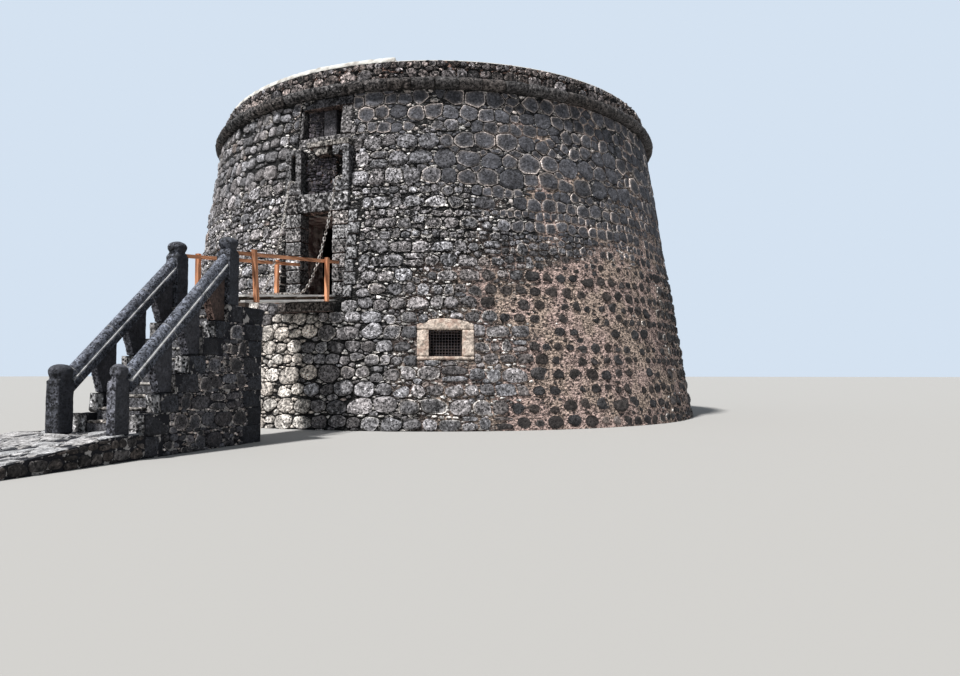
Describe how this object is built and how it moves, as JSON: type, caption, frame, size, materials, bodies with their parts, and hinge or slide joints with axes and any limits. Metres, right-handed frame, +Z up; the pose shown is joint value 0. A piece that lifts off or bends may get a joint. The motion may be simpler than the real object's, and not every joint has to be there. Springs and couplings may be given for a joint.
{
  "type": "martello tower",
  "caption": "Round leaning-walled coastal artillery tower of basalt rubble with a raised door, a stone stair and a timber gangway.",
  "frame": {"origin": "on the tower's axis at ground level, at the underside of the ground floor", "axes": "+Z up the tower's axis, -Y from the axis out through the door towards the stair, +X to the right seen from the front"},
  "size_m": [17.8999, 27.6999, 10],
  "materials": {
    "rubble": "rough basalt rubble in lime mortar",
    "dark_ashlar": "dark pitted basalt",
    "ashlar": "dressed pitted basalt",
    "cream_stone": "pale dressed sandstone",
    "lime": "lime mortar coping",
    "paving": "worn stone paving",
    "timber": "oiled softwood",
    "rusty_iron": "rusty wrought iron"
  },
  "bodies": {
    "root": {"wall_front_right": "rubble", "wall_right_front": "rubble", "wall_right": "rubble", "wall_rear_right": "rubble", "wall_rear": "rubble", "wall_rear_left": "rubble", "wall_left": "rubble", "wall_left_front": "rubble", "wall_front_left": "rubble", "wall_door_left": "rubble", "wall_door_right": "rubble", "wall_under_door": "rubble", "wall_over_door": "rubble", "threshold": "rubble", "portal_infill": "rubble", "upper_window_infill": "rubble", "stair_core": "rubble", "cornice_front": "dark_ashlar", "cornice_right": "dark_ashlar", "cornice_rear": "dark_ashlar", "cornice_left": "dark_ashlar", "newels_right": "dark_ashlar", "newels_left": "dark_ashlar", "balusters_right": "dark_ashlar", "balusters_left": "dark_ashlar", "stone_rail_right": "dark_ashlar", "stone_rail_left": "dark_ashlar", "parapet": "ashlar", "door_jambs": "ashlar", "door_lintel": "ashlar", "left_pilaster": "ashlar", "right_pilaster": "ashlar", "arch_stones": "ashlar", "upper_window_frame": "ashlar", "stair_treads": "ashlar", "stair_wall_right": "ashlar", "stair_wall_left": "ashlar", "threshold_corbel": "ashlar", "roof_vault": "ashlar", "main_floor": "ashlar", "window_front": "cream_stone", "window_rear": "cream_stone", "window_left": "cream_stone", "coping_thick": "lime", "coping_thin": "lime", "ground_floor": "paving", "ramp": "paving", "gangway_stringers": "timber", "gangway_bearers": "timber", "gangway_planks": "timber", "gangway_posts": "timber", "gangway_rails": "timber", "chain_left": "rusty_iron", "chain_right": "rusty_iron"}
  },
  "joints": []
}
